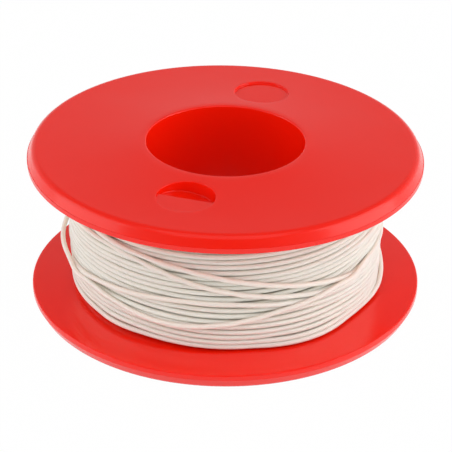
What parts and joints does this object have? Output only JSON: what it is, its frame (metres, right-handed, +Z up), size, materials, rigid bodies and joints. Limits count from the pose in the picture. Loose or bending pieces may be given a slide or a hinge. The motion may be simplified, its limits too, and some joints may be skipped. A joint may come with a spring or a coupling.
{
  "type": "wire spool",
  "caption": "Flanged plastic spool wound with thin insulated wire, with a plain central bore and shallow drive pockets in its outer faces.",
  "frame": {"origin": "centre of the circle that the spool stands on, on the bore's axis, at the foot of the lower flange", "axes": "+Z up along the bore's axis; -Y towards the viewer of the picture; +X to the picture's right"},
  "size_m": [0.07, 0.07, 0.0305],
  "materials": {
    "red_plastic": "gloss, injection moulded polystyrene",
    "wire_insulation": "soft white extruded insulation, low sheen",
    "tinned_copper": "tinned copper, cut end"
  },
  "bodies": {
    "root": {"lower_spool_half": "red_plastic", "upper_spool_half": "red_plastic", "buried_turns": "wire_insulation", "outer_turns": "wire_insulation", "conductor": "tinned_copper"}
  },
  "joints": []
}
